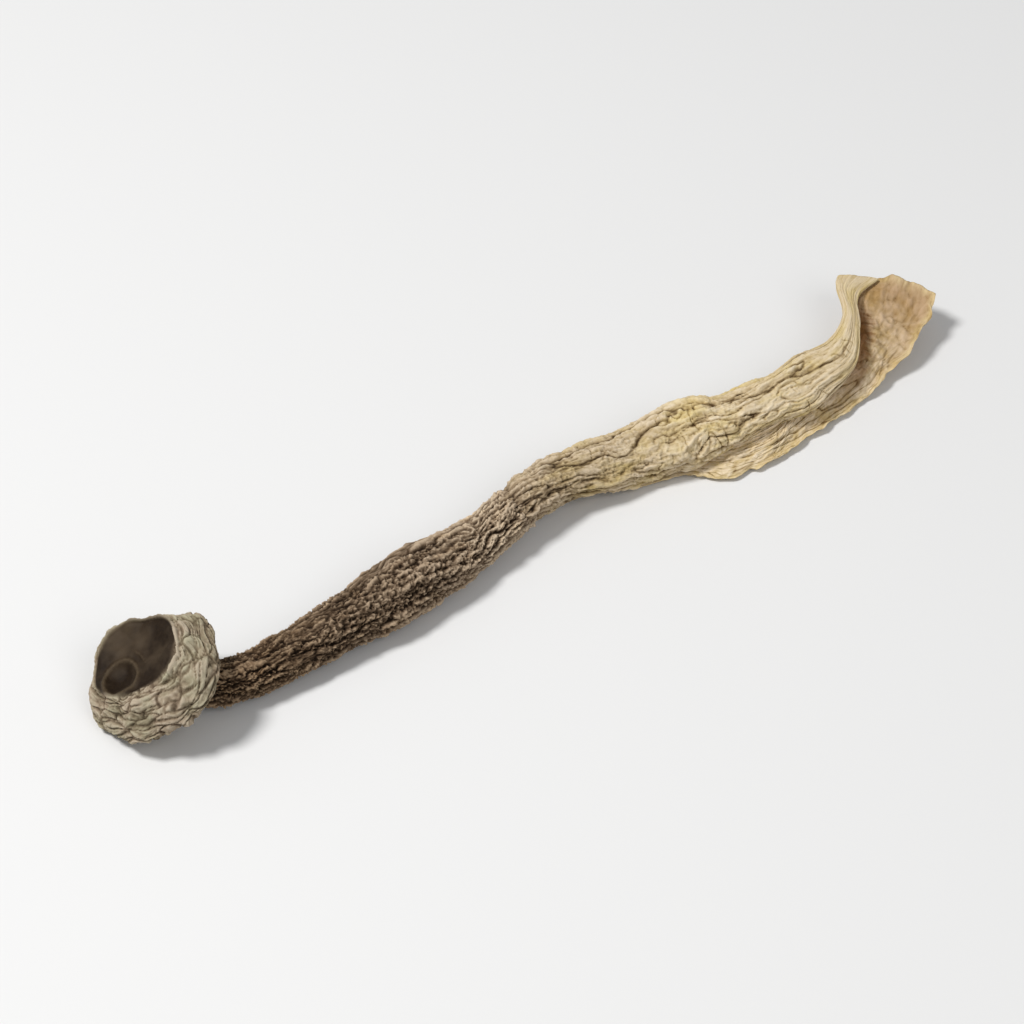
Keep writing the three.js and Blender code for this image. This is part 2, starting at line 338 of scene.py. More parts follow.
def cap_outline():
    """Radius and height of the cap's profile, from the middle of the gills out round the rolled
    rim and in over the side to the middle of the dish."""
    under = CAP_HEIGHT - CAP_DISH_DEPTH - CAP_ROOF
    inner = CAP_RADIUS - CAP_RIM
    band = CAP_RADIUS - CAP_DISH_RADIUS
    return np.array([
        [0, under], [inner * 0.3, under * 0.95], [inner * 0.6, under * 0.8],
        [inner, CAP_RIM * 0.4], [inner + CAP_RIM * 0.3, 0],
        [CAP_RADIUS - CAP_RIM * 0.2, CAP_RIM * 0.1], [CAP_RADIUS, CAP_RIM * 0.7],
        [CAP_DISH_RADIUS + band * 0.62, CAP_HEIGHT * 0.62],
        [CAP_DISH_RADIUS + band * 0.16, CAP_HEIGHT * 0.95], [CAP_DISH_RADIUS * 0.92, CAP_HEIGHT],
        [CAP_DISH_RADIUS * 0.6, CAP_HEIGHT - CAP_DISH_DEPTH * 0.8],
        [CAP_DISH_RADIUS * 0.3, CAP_HEIGHT - CAP_DISH_DEPTH * 0.97],
        [0, CAP_HEIGHT - CAP_DISH_DEPTH],
    ])


def cap_form(rows, columns):
    """The cap's plain form about the Z axis: its profile turned round, with a radius that swells
    and pinches by 2 and 5 waves, and a height that rises and falls by 3 waves, more towards the
    rim by the square of the radius. Also gives the angle, radius, height and share of the
    profile."""
    share = np.linspace(0, 1, OUTLINE_STEPS)
    length = distances(joined_rows(cap_outline(), share))
    even = np.interp(np.linspace(0, length[-1], rows), length, share)
    radius, height = joined_rows(cap_outline(), even).T
    radius = np.maximum(radius, 1e-3)
    angle = np.linspace(-np.pi, np.pi, columns, endpoint=False)
    swell = 1 + 0.05 * np.cos(2 * angle + 1.6) + 0.03 * np.cos(5 * angle - 0.8)
    droop = 0.35 * np.cos(3 * angle + 1.1)
    reach = (radius / CAP_RADIUS)[:, None]
    points = np.stack([
        radius[:, None] * swell * np.cos(angle),
        radius[:, None] * swell * np.sin(angle),
        height[:, None] + droop * reach ** 2,
    ], -1)
    return points, angle, radius, height, even


def cap_low():
    """How far the plain cap reaches below its own origin once it is tilted: the least height."""
    points = cap_form(200, 176)[0] @ turned_to(cap_axis).T
    return points[..., 2].min()


cap_centre = np.array([-CAP_OVERHANG, CAP_SWAY, -cap_low()])


def unrolled(travel, angle, girth):
    """Coordinates for patterns that follow the surface: the distance along it, and a circle of
    one radius in place of its section, so that they meet where they close round it."""
    shape = np.broadcast(travel, angle).shape
    return np.stack([np.broadcast_to(travel, shape), np.broadcast_to(girth * np.cos(angle), shape),
                     np.broadcast_to(girth * np.sin(angle), shape)], -1)


def cap_side(points, at):
    """The cap's crackled side, as a push and a tone: broad facets, which are one noise's size
    less another's, and two sizes of flakes, each with its own level and sunk at its border."""
    facets = billowed(points / 5.2, 1, 3) - 0.8 * billowed(points / 4.1, 1, 4)
    border, level = flakes(sized(at, 1.15, 3.4), 6)
    edge, chip = flakes(sized(at + 0.25 * swirled(at, 0.8, 7), 0.6, 1.2), 8)
    folds = rise(0, 0.25, np.abs(noise(sized(at, 1.5, 6.0), 9)))
    rough = layered(points / 0.8, 2, 17)
    cracks = rise(0, 0.2, border) * (0.55 + 0.45 * folds)
    chips = rise(0, 0.3, edge)
    push = 0.55 * facets + 0.3 * cracks + 0.22 * level + 0.1 * chips + 0.1 * chip
    push = push + 0.06 * rough - 0.5
    tone = 0.5 * furrowed(push) + 0.15 * chips + 0.2 * level + 0.27
    return push, tone * (0.42 + 0.58 * cracks)


def cap_grid(rows=190, columns=520):
    """The cap with its detail: below, furrows between gills, the size of a sine round the cap;
    on the side, folds and cracks that follow the rim; above, a smooth dish with a round dimple,
    a low ring and part of a second ring round it, each a hump over the distance from its middle,
    and a thin lip. The dish leans aside, more the higher a place is."""
    points, angle, radius, height, even = cap_form(rows, columns)
    knot = even[:, None] * (len(cap_outline()) - 1)
    under = 1 - rise(*GILLS_EDGE, knot)
    closer = 0.9 * np.maximum(0, np.cos(angle - DISH_TURN - np.pi))
    dish = rise(*DISH_EDGE, knot - closer)
    side = (1 - under) * (1 - dish)
    lean = np.array([math.cos(DISH_TURN), math.sin(DISH_TURN), 0]) * DISH_SHIFT
    points = points + lean * rise(CAP_HEIGHT * 0.4, CAP_HEIGHT, points[..., 2:])

    at = unrolled(height[:, None] - radius[:, None], angle, CAP_GIRTH)
    side_push, side_tone = cap_side(points, at + 0.9 * swirled(at, 2.6, 5))

    gill = np.abs(np.sin(angle * GILLS / 2 + 0.5 * noise(points / 2.5, 21)))
    gill_push = 0.55 * rise(*GILLS_START, radius)[:, None] * rise(0, 0.8, gill) - 0.3

    apart = (points[..., :2] - np.array(DIMPLE_AT)) @ np.array(DIMPLE_OVAL)
    apart = np.linalg.norm(apart, axis=-1) / DIMPLE_SIZE + 0.2 * noise(points / 5.0, 29)
    ring = hump(RING_AT, RING_REACH, apart)
    outer = hump(OUTER_RING_AT, OUTER_RING_REACH, apart) * rise(0.0, 0.5, noise(points / 4.0, 33))
    dish_push = 0.28 * ring + 0.15 * outer - 0.55 * (1 - rise(0.8, 2.6, apart))
    dish_push = dish_push + 0.3 * layered(points / 3.0, 2, 37)
    facing = np.cos(angle - LIP_TURN) + 0.4 * noise(points / 2.0, 39)
    lip = hump(LIP_AT, LIP_REACH, knot) * rise(-0.5, 0.6, facing)

    relief = side * side_tone + under * rise(0.15, 0.95, gill)
    relief = relief + dish * (0.35 + 0.4 * ring + 0.25 * outer) + 0.7 * lip
    grain = pushed(points, side * side_push + under * gill_push + dish * dish_push + 0.6 * lip)
    return grain @ turned_to(cap_axis).T + cap_centre, {
        "relief": np.clip(relief, 0, 1), "dish": dish, "gills": under, "grain": grain}


# ------------------------------------------------------------------ sections along the stem

def section(along, sway, lift, width, thickness, roll, skew):
    """One cross-section as a row of 7 numbers: its centre, half its width as a vector, and its
    thickness. Roll raises the far side and skew slants it, in degrees, so the vector points
    along (sin skew cos roll, cos skew cos roll, sin roll). The lift is the gap under it: its
    centre is higher by half the tilted ellipse's height, the root of the width times sin roll
    squared plus the thickness times cos roll squared."""
    roll, skew = math.radians(roll), math.radians(skew)
    across = np.array([math.sin(skew) * math.cos(roll), math.cos(skew) * math.cos(roll),
                       math.sin(roll)])
    half_height = math.hypot(across[2] * width, math.cos(roll) * thickness) / 2
    return np.array([along, sway, lift + half_height, *(across * width / 2), thickness])


def stem_sections():
    """The stem's cross-sections in order, from inside the cap to the flap's end. The first two
    stand on the cap's axis, and each of the others is laid at its distance along X."""
    neck_half = [0, NECK_WIDTH * 0.45, 0]
    neck_top = cap_centre + cap_axis * (CAP_HEIGHT - CAP_ROOF)
    neck_bend = cap_centre + cap_axis * -1.5
    dark, pale, flap = DARK_LENGTH, PALE_LENGTH, FLAP_LENGTH
    end_lift = CORNER_LIFT - 0.9
    laid = (
        (dark * 0.06, -7.4, NECK_LIFT, NECK_WIDTH, NECK_THICKNESS, 0, 0),
        (dark * 0.2, -8.0, NECK_LIFT, NECK_WIDTH * 1.05, NECK_THICKNESS, 0, 0),
        (dark * 0.4, -7.7, BELLY_LIFT, BELLY_WIDTH * 0.84, BELLY_THICKNESS * 0.85, 5, 0),
        (dark * 0.64, -6.4, BELLY_LIFT, BELLY_WIDTH, BELLY_THICKNESS, 8, 0),
        (dark * 0.82, -5.5, BELLY_LIFT, KINK_WIDTH * 1.12, KINK_THICKNESS * 1.1, 6, 0),
        (KINK_AT, -3.3, KINK_LIFT, KINK_WIDTH, KINK_THICKNESS, 0, 0),
        (KINK_AT + pale * 0.17, -2.2, KINK_LIFT, KINK_WIDTH, KINK_THICKNESS, 8, 4),
        (KINK_AT + pale * 0.4, -2.8, 0.9, SHOULDER_WIDTH * 0.8, KINK_THICKNESS, 16, 10),
        (KINK_AT + pale * 0.62, -3.7, 0, SHOULDER_WIDTH, SHOULDER_THICKNESS, 18, 22),
        (KINK_AT + pale * 0.82, -5.4, 1.2, FLAP_WIDTH, SHOULDER_THICKNESS * 0.86, 22, 22),
        (FOLD_AT, -6.0, FLAP_LIFT, FLAP_WIDTH, FLAP_THICKNESS, 19, 14),
        (FOLD_AT + flap * 0.27, -5.7, 3.1, FLAP_WIDTH * 1.1, FLAP_THICKNESS * 0.85, 18, 12),
        (FOLD_AT + flap * 0.6, -5.0, 4.4, FLAP_WIDTH * 0.78, FLAP_THICKNESS * 0.6, 19, -14),
        (FOLD_AT + flap * 0.84, -1.4, 6.1, FLAP_WIDTH * 0.44, FLAP_THICKNESS * 0.45, 16, -14),
        (CORNER_AT + 0.2, 3.8, end_lift, FLAP_WIDTH * 0.48, FLAP_THICKNESS * 0.26, 12, -34),
        (CORNER_AT + 3.9, 5.7, end_lift, FLAP_WIDTH * 0.84, FLAP_THICKNESS * 0.16, 8, -58),
    )
    return np.array([
        [*neck_top, *neck_half, NECK_THICKNESS],
        [*neck_bend, *neck_half, NECK_THICKNESS],
        *(section(*numbers) for numbers in laid),
    ])


def leaf_sections():
    """The back leaf's cross-sections in order, all of one thickness, from its root inside the
    shoulder to its end at the corner: distance along X, sway, lift, width, roll and skew."""
    root, flap, end = LEAF_ROOT_LENGTH, FLAP_LENGTH, LEAF_END_WIDTH
    laid = (
        (FOLD_AT - root, -4.6, 0.2, LEAF_WIDTH * 0.4, 12, 30),
        (FOLD_AT - root * 0.68, -6.2, 0, LEAF_WIDTH * 0.6, 17, 50),
        (FOLD_AT - root * 0.44, -9.0, 0, LEAF_WIDTH * 0.72, 18, 58),
        (FOLD_AT - root * 0.2, -10.0, 0, LEAF_WIDTH * 0.88, 18, 50),
        (FOLD_AT, -8.7, 0.1, LEAF_WIDTH * 0.95, 19, 34),
        (FOLD_AT + flap * 0.27, -7.3, 0.1, LEAF_WIDTH, 22, 15),
        (FOLD_AT + flap * 0.66, -5.6, 0.7, LEAF_WIDTH * 1.05, 27, -11),
        (CORNER_AT - flap * 0.03, -3.0, 2.3, end * 0.8, 21, -33),
        (CORNER_AT + end * 0.25, -0.2, 3.9, end * 0.96, 15, -38),
        (CORNER_AT + end * 0.44, 2.1, TIP_LIFT, end, 11, -47),
    )
    return np.array([section(along, sway, lift, width, LEAF_THICKNESS, roll, skew)
                     for along, sway, lift, width, roll, skew in laid])


def along_run(sections, rows, first=0, last=None):
    """Joined sections read at even steps of the distance their centre travels, from one section
    to another; also gives that distance and the share of the run, as columns."""
    count = len(sections) - 1
    share = np.linspace(0, 1, TRIAL_STEPS)
    length = distances(joined_rows(sections, share)[:, :3])
    begin, end = np.interp([first / count, 1 if last is None else last / count], share, length)
    travel = np.linspace(begin, end, rows)
    even = np.interp(travel, length, share)
    return joined_rows(sections, even), travel[:, None], even[:, None]


def carried(sections, rows, columns, first=0, last=None):
    """An ellipse carried along joined sections: centre plus cosine times the half-width vector
    plus sine times half the thickness along the upright. Also gives the distance travelled, the
    angle and the share of the run."""
    row, travel, even = along_run(sections, rows, first, last)
    centre, half, thickness = row[:, :3], row[:, 3:6], row[:, 6:7]
    upright = unit(np.cross(np.gradient(centre, axis=0), half))
    angle = np.linspace(0, 2 * np.pi, columns, endpoint=False)
    cos, sin = np.cos(angle)[None, :, None], np.sin(angle)[None, :, None]
    points = (centre[:, None] + half[:, None] * cos + (upright * thickness / 2)[:, None] * sin)
    return points, travel, angle[None, :], even


# ------------------------------------------------------------------ stem

def stem_part(rows, columns, first, last):
    """The plain stem between two of its sections, with the distance along it counted so that the
    kink is at its own place, the coordinates that its patterns follow, the distance along it
    made ragged by a sine round it and two noises, and the share of the whole stem."""
    points, travel, angle, share = carried(stem_sections(), rows, columns, first, last)
    kink = along_run(stem_sections(), 2, KINK_SECTION, KINK_SECTION + 1)[1][0, 0]
    along = travel - kink + KINK_AT
    at = unrolled(along, angle, STEM_GIRTH)
    ragged = 1.6 * np.sin(angle + 0.6) + 1.6 * noise(at / 2.2, 61) + 0.6 * noise(at / 0.8, 63)
    return points, along, at, along + ragged, share


def smooth_patches(at, along):
    """Where the dark half is smoother, from 0 to 1: a plank on one side of its middle stretch,
    and patches where a long noise is high."""
    facing = (at[..., 1] * math.cos(PLANK_TURN) + at[..., 2] * math.sin(PLANK_TURN)) / STEM_GIRTH
    plank = rise(0.7, 0.9, facing + 0.1 * noise(at / 2.0, 49))
    plank = plank * rise(*PLANK_FROM, along) * (1 - rise(*PLANK_TO, along))
    return np.maximum(plank, 0.7 * rise(0.2, 0.6, noise(sized(at, 7, 2.4), 51)))


def dark_stem_grid(rows=560, columns=168):
    """The dark half of the stem, pushed out along its normals by a sum: long lumps and grooves;
    bark-like warts, crests to the fourth power, that are drawn out into slivers away from the
    cap; flat flakes, sunk at their borders; and grit, crests to the third. Smooth patches have
    streaks instead, and so has the frayed end, whose torn lip is drawn in at the kink."""
    points, along, at, torn, _ = stem_part(rows, columns, 0, KINK_SECTION + DARK_OVERLAP)
    loose = at + 1.1 * swirled(at, 3.2, 41)
    curled = at + 0.35 * swirled(at, 0.8, 47)
    lumps = layered(sized(at, 8, 4.2), 2, 2)
    grooves = billowed(sized(loose, 8, 1.9), 2, 8)
    warts = ridged(sized(curled, 1.0, 0.52), 2, 15)
    slivers = ridged(sized(at + 0.3 * swirled(at, 0.9, 53), 2.6, 0.5), 2, 16)
    warts = warts + (slivers - warts) * 0.85 * rise(10, 30, along)
    border, level = flakes(sized(curled, 2.2, 0.72), 19)
    grit = ridged(sized(curled, 0.6, 0.36), 1, 17)
    streaks = ridged(sized(loose, 4.5, 0.8), 2, 25)
    frayed = rise(FRAYED_FROM, FRAYED_TO, torn)
    bare = smooth_patches(at, along)
    push = (0.4 - 0.15 * frayed) * warts ** 4 + 0.24 * level + 0.2 * rise(0, 0.3, border)
    push = (push + 0.2 * grit ** 3) * (1 - 0.75 * bare) + 0.3 * bare + 0.16 * bare * streaks ** 2
    push = push + 0.4 * lumps + 0.35 * grooves + 0.4 * frayed * streaks ** 3 - 0.8
    relief = furrowed(push) + 0.25 * frayed * (streaks - 0.5) + 0.1 * bare * (streaks - 0.4)
    lip = LIP_DRAWN_IN * rise(KINK_AT - 0.4, KINK_AT + 1.3, torn)
    return drawn_in(pushed(points, push), lip), {
        "relief": np.clip(relief, 0, 1), "frayed": frayed, "along": along / CORNER_AT, "grain": at}


def pale_stem_grid(rows=640, columns=152):
    """The pale half of the stem and its front flap, pushed out along its normals by a sum, less
    as the flap thins: lumps; folds, wrinkles and fibres, which are sizes of noises drawn out
    along it; dark lines where those are near nought, crossed here and there by short creases;
    two sizes of flakes; and warts, most of all near the kink, where it is worn. It starts drawn
    in under the dark half's lip, where it is darkened with painted shade, and its end closes
    on a quarter circle."""
    points, along, at, torn, share = stem_part(rows, columns, KINK_SECTION - PALE_OVERLAP, None)
    thin = rise(FOLD_AT - 6, CORNER_AT, along)
    worn = 1 - rise(WORN_FROM, WORN_TO, along)
    drift = (0.7 * swirled(at, 4.5, 43) + 0.2 * swirled(at, 1.2, 45)) * (1 - 0.6 * thin)[..., None]
    drawn = at + drift
    lumps = layered(sized(at, 8, 4.2), 2, 2)
    folds = billowed(sized(drawn, 22, 2.1), 1, 23)
    wrinkles = billowed(sized(drawn, 15, 0.95), 1, 26)
    fibres = billowed(sized(drawn, 12, 0.55), 2, 27)
    border, level = flakes(sized(drawn, 4.6, 1.5), 29)
    edge, chip = flakes(sized(drawn + 0.25 * swirled(at, 0.7, 33), 1.9, 0.8), 35)
    across = billowed(sized(drawn, 2.2, 3.0), 1, 31)
    crossed = rise(0.0, 0.5, noise(sized(at, 7, 4), 37))
    flat = rise(0, 0.5, noise(sized(at, 9, 2.5), 39))
    warts = ridged(sized(at + 0.4 * swirled(at, 0.9, 47), 1.6, 0.8), 2, 15)

    lines = np.minimum(rise(0, 0.24, folds), 0.35 + 0.65 * rise(0, 0.3, wrinkles + 0.35 * flat))
    lines = lines * (0.6 + 0.4 * rise(0, 0.35, fibres))
    lines = lines * (1 - crossed * (1 - rise(0, 0.16, across)))
    lines = lines * (0.7 + 0.3 * rise(0, 0.12, border)) * (0.8 + 0.2 * rise(0, 0.16, edge))
    lines = 1 - (1 - lines) * (1 - 0.7 * rise(CORNER_AT - 8, CORNER_AT + 1, along))
    rough = 0.6 + 0.4 * worn - 0.5 * rise(FOLD_AT - 8, FOLD_AT + 8, along)

    push = (0.24 * folds + 0.16 * wrinkles + 0.16 * fibres) * (1 - 0.4 * worn) + 0.16 * lines
    push = push + (0.3 + 0.15 * worn) * rough * warts ** 2 + 0.15 * across * crossed
    push = push + (0.18 * level + 0.14 * chip) * (1 - 0.7 * thin) - 0.62
    push = 0.5 * lumps * (1 - 0.6 * thin) + push * (1 - 0.78 * thin)
    start = rise(KINK_AT - 1.5, KINK_AT + 3.5, torn)
    relief = 0.5 * furrowed(push) + 0.5 * lines * (1 - 0.4 * rough * (1 - warts))
    # Painted shade: where it starts under the dark half's lip its relief is lowered, which darkens
    # its colour there as well as its bump.
    relief = relief - 0.3 * (1 - start)
    points = drawn_in(pushed(points, push), START_DRAWN_IN * (1 - start))
    return drawn_in(points, END_DRAWN_IN * (1 - rounded((1 - share) / END_SHARE))), {
        "relief": np.clip(relief, 0, 1), "along": along / CORNER_AT, "grain": at}


# ------------------------------------------------------------------ leaf

def beneath_flap(middle):
    """How places lie under the front flap: the number of the flap's nearest section, the gap
    beside that section as seen from above, and the height of its underside, which is its centre
    plus its slant less the lower half of its ellipse."""
    flap = along_run(stem_sections(), FLAP_STEPS, FLAP_SECTION, None)[0]
    apart = middle[..., None, :2] - flap[:, :2]
    nearest = np.linalg.norm(apart, axis=-1).argmin(-1)
    apart = np.take_along_axis(apart, nearest[..., None, None], 2)[..., 0, :]
    flap = flap[nearest]
    reach = np.linalg.norm(flap[..., 3:5], axis=-1)
    aside = (apart * unit(flap[..., 3:5])).sum(-1) / reach
    gap = (np.abs(aside) - 1) * reach
    aside = np.clip(aside, -1, 1)
    under = flap[..., 2] + flap[..., 5] * aside - flap[..., 6] / 2 * np.sqrt(1 - aside ** 2)
    return nearest, gap, under


def leaf_lift(at, near, even):
    """How far the leaf stands above its sections, as a sum: waves, a curled near edge, a crown
    between its edges that turns into a sag, both one less the square of the place across it, a
    far edge that rises to join the flap, and a rolled end."""
    edge = rise(*LEAF_EDGE, near)
    waves = 0.7 * noise(at / 5.5, 91) + 0.25 * noise(at / 2.4, 93)
    curl = edge ** 2 * (0.9 + 0.8 * noise(at / 4.0, 95))
    sag = (1 - near ** 2) * (0.9 * rise(0.2, 0.4, even) - 1.9 * rise(0.66, 0.86, even))
    joined = 1.8 * rise(0.35, 1.0, -near) * (1 - rise(*LEAF_END, even))
    return waves * (0.3 + 0.5 * edge) + curl + sag + joined + 0.45 * rise(*LEAF_ROLL, even)


def leaf_outline(at, near, even, travel):
    """How far the leaf's end bows out ahead and its edges spill aside: a bulge in the middle of
    the end that is rounded off at its corners, a lobe on the near edge, and small noises."""
    end = rise(*LEAF_END, even)
    edge = rise(*LEAF_EDGE, near)
    frill = noise(at / 0.9, 75)
    bow = 0.7 * end ** 3 + LEAF_END_BULGE * (1 - near ** 2) * np.maximum(0, 2 * even - 1) ** 4
    bow = bow - 0.7 * np.abs(near) ** 9 * end ** 3
    bow = bow + end ** 4 * (0.4 * noise(at / 2.0, 79) + 0.14 * frill)
    spill = 0.4 * noise(at[..., :1] * np.array([1, 0, 0]) / 3.4, 71)
    spill = (spill + SPILL * hump(SPILL_AT, SPILL_REACH, travel)) * rise(0.2, 1, near)
    spill = spill + (0.3 * noise(at / 1.5, 73) + 0.13 * frill) * edge + 0.9 * rise(0.3, 1, -near)
    return bow, spill


def leaf_wrinkles(at, near, even, travel):
    """The leaf's wrinkles, as a push and as dark lines: folds and fibres that fan out with it,
    smoothed towards the tip, crooked creases, and flakes sunk at their borders."""
    radial = np.stack([travel / 9 + 0 * near, near * (2.6 - 1.2 * even) * 2, 0 * near], -1)
    radial = radial + 0.16 * swirled(at, 2.5, 81)
    bent = at + 0.7 * swirled(at, 1.8, 97)
    folds = billowed(radial, 1, 83)
    fibres = billowed(radial * np.array([1.2, 3.2, 1]), 2, 87)
    creases = billowed(sized(bent, 3.2, 2.2, 1), 2, 99)
    border, level = flakes(sized(bent, 2.6, 1.3, 1), 101)
    smooth = rise(0.6, 0.85, even)
    lines = (1 - (1 - rise(0, 0.16, folds)) * (1 - 0.85 * smooth)) * rise(-0.05, 0.12, creases)
    lines = (0.1 + 0.9 * lines) * (0.7 + 0.3 * rise(0, 0.12, border))
    lines = lines * (1 - 0.35 * (1 - rise(0, 0.3, fibres)) * (1 - 0.7 * smooth))
    push = 0.14 * folds * (1 - 0.8 * smooth) + 0.1 * fibres * (1 - 0.6 * smooth)
    return push + 0.2 * creases + 0.1 * lines + 0.1 * level - 0.3, lines


def leaf_grid(rows=330, columns=220):
    """The back leaf, a thin sheet: its columns run below it from the near edge to the far and
    back over its top, which turns its faces outwards. A place is the section's centre less the
    half-width vector times the cosine, moved ahead by the bow, aside by the spill and up by the
    lift and wrinkles, plus half the thickness times a flattened sine. Beneath the flap it is
    pressed down below the flap's underside, and nowhere does it go below the floor."""
    row, travel, even = along_run(leaf_sections(), rows)
    centre, half, thickness = row[:, None, :3], row[:, None, 3:6], row[:, 6:7]
    angle = -np.linspace(0, 2 * np.pi, columns, endpoint=False)
    near = np.cos(angle)[None, :] + 0 * travel
    ahead = unit(np.gradient(centre, axis=0))
    upright = unit(np.cross(ahead, -half))
    upright = upright * np.sign(upright[..., 2:])
    at = np.stack([travel + 0 * near, near * LEAF_GIRTH, 0 * near], -1)

    bow, spill = leaf_outline(at, near, even, travel)
    push, lines = leaf_wrinkles(at, near, even, travel)
    lift = leaf_lift(at, near, even) + push
    middle = centre + half * -near[..., None] + ahead * bow[..., None]
    middle = middle - unit(half) * spill[..., None] + upright * lift[..., None]

    nearest, gap, under = beneath_flap(middle)
    under = under - LEAF_THICKNESS * 0.5 - FLAP_CLEARANCE
    pressed = (1 - rise(0.2, 1.8, gap)) * rise(*PRESSED_FROM, nearest)
    height = middle[..., 2] - pressed * np.maximum(0, middle[..., 2] - under)
    middle[..., 2] = np.maximum(height, REST_FLAT + LEAF_THICKNESS * 0.5)

    round_end = 0.3 + 0.7 * rounded((1 - even) / 0.02)
    body = np.sin(angle) * (0.45 + 0.55 * np.abs(np.sin(angle))) * round_end
    # Painted shade: the leaf is darkened brown beside and under the flap's edge, where the flap
    # shades it, most towards the corner.
    hollow = 1 - rise(-0.1, 1.7, gap + 0.5 * noise(at / 1.4, 105))
    hollow = hollow * (0.15 + 0.85 * rise(0.55, 0.75, even)) * (1 - rise(*FLAP_SHADE_TO, nearest))
    return middle + upright * (body * thickness / 2)[..., None], {
        "relief": 0.5 * furrowed(push) + 0.5 * lines, "share": even, "hollow": hollow,
        "brim": np.maximum(rise(0.8, 0.97, near), rise(*LEAF_ROLL, even)), "grain": at}


# ------------------------------------------------------------------ placing in the frame

# One step moves every grid: the middle of the plain shape's box goes to the middle of the CAD's
# box, and the plane it is pressed on goes to the floor.
plain = [cap_form(120, 176)[0] @ turned_to(cap_axis).T + cap_centre,
         carried(stem_sections(), 200, 48)[0], carried(leaf_sections(), 200, 48)[0]]
plain = np.vstack([form.reshape(-1, 3) for form in plain])
cad_middle = (np.array(cad_low) + np.array(cad_high)) / 2 / MM
move = cad_middle - (plain.min(0) + plain.max(0)) / 2
move[2] = -REST_FLAT


def placed(name, grid):
    """Puts a grid into the frame: heights below the plane it is pressed on are raised to it, and
    the whole is moved by the one step."""
    points, fields = grid
    points = np.concatenate([points[..., :2], np.maximum(points[..., 2:], REST_FLAT)], -1)
    return put_in_mesh(name, points + move, **fields)


# ------------------------------------------------------------------ materials

BUMP_DEPTH = 0.00018                    # metres, of the finest grain only
SHINE = 0.12                            # how much a dry skin reflects
GRAIN_ROUGHNESS = 0.6                   # how strong each finer layer of its noise is


class Wire:
    """A node socket that does shader maths: an operator between wires or numbers adds a node."""

    def __init__(self, finish, socket):
        self.finish = finish
        self.socket = socket

    def maths(self, operation, first, second):
        """The result of a Math node."""
        return self.finish.node("ShaderNodeMath", {"operation": operation}, {0: first, 1: second})

    def __add__(self, other):
        return self.maths("ADD", self, other)

    def __sub__(self, other):
        return self.maths("SUBTRACT", self, other)

    def __rsub__(self, other):
        return self.maths("SUBTRACT", other, self)

    def __mul__(self, other):
        return self.maths("MULTIPLY", self, other)

    __radd__ = __add__
    __rmul__ = __mul__


class Finish:
    """A material with one Principled shader, and short ways to add the nodes that feed it."""

    def __init__(self, name):
        self.material = bpy.data.materials.new(name)
        self.material.use_nodes = True
        self.tree = self.material.node_tree
        self.shader = self.tree.nodes["Principled BSDF"]

    def feed(self, slot, value):
        """Links a wire to a node's input, or sets the input to a number, colour or vector."""
        if isinstance(value, Wire):
            self.tree.links.new(value.socket, slot)
        elif slot.type == "RGBA":
            slot.default_value = (*value, 1)
        else:
            slot.default_value = value

    def node(self, kind, settings, values, output=0):
        """The way that every node is added: first its settings, such as a Math node's operation
        or a ramp's stops, then the values or links of its inputs, by name or number."""
        node = self.tree.nodes.new(kind)
        for key, value in settings.items():
            if key == "stops":
                elements = node.color_ramp.elements
                for _ in value[2:]:
                    elements.new(0.5)
                for element, (place, colour) in zip(elements, value):
                    element.position = place
                    element.color = (*colour, 1)
            else:
                setattr(node, key, value)
        for key, value in values.items():
            self.feed(node.inputs[key], value)
        return Wire(self, node.outputs[output])

    def field(self, name, output="Fac"):
        """One of the piece's own point attributes."""
        return self.node("ShaderNodeAttribute", {"attribute_name": name}, {}, output)

    def grain(self, per_mm, detail, stretch=(1, 1, 1)):
        """Noise over the coordinates that follow the piece, from 0 to 1."""
        place = self.node("ShaderNodeMapping", {}, {
            "Vector": self.field("grain", "Vector"), "Scale": stretch})
        return self.node("ShaderNodeTexNoise", {}, {
            "Vector": place, "Scale": per_mm, "Detail": detail, "Roughness": GRAIN_ROUGHNESS})

    def ramp(self, value, *stops):
        """Colours at places from 0 to 1, blended between."""
        return self.node("ShaderNodeValToRGB", {"stops": stops}, {"Fac": value}, "Color")

    def mix(self, share, first, second, blend="MIX"):
        """The first colour at share 0 and the second at share 1."""
        return self.node("ShaderNodeMix", {"data_type": "RGBA", "blend_type": blend},
                         {0: share, 6: first, 7: second}, 2)

    def tinted(self, share, colour, tint):
        """A colour, multiplied by a tint where the share is 1."""
        return self.mix(share, colour, tint, "MULTIPLY")

    def between(self, value, low, high):
        """0 at or below low, 1 at or above high, and a straight line between."""
        return self.node("ShaderNodeMapRange", {}, {
            "Value": value, "From Min": low, "From Max": high})

    def wear(self, piece, colour, roughness, height, strength):
        """Feeds the shader and gives the finish to a piece."""
        bump = self.node("ShaderNodeBump", {}, {
            "Height": height, "Strength": strength, "Distance": BUMP_DEPTH})
        for name, value in (("Base Color", colour), ("Roughness", roughness), ("Normal", bump),
                            ("Specular IOR Level", SHINE)):
            self.feed(self.shader.inputs[name], value)
        piece.data.materials.append(self.material)


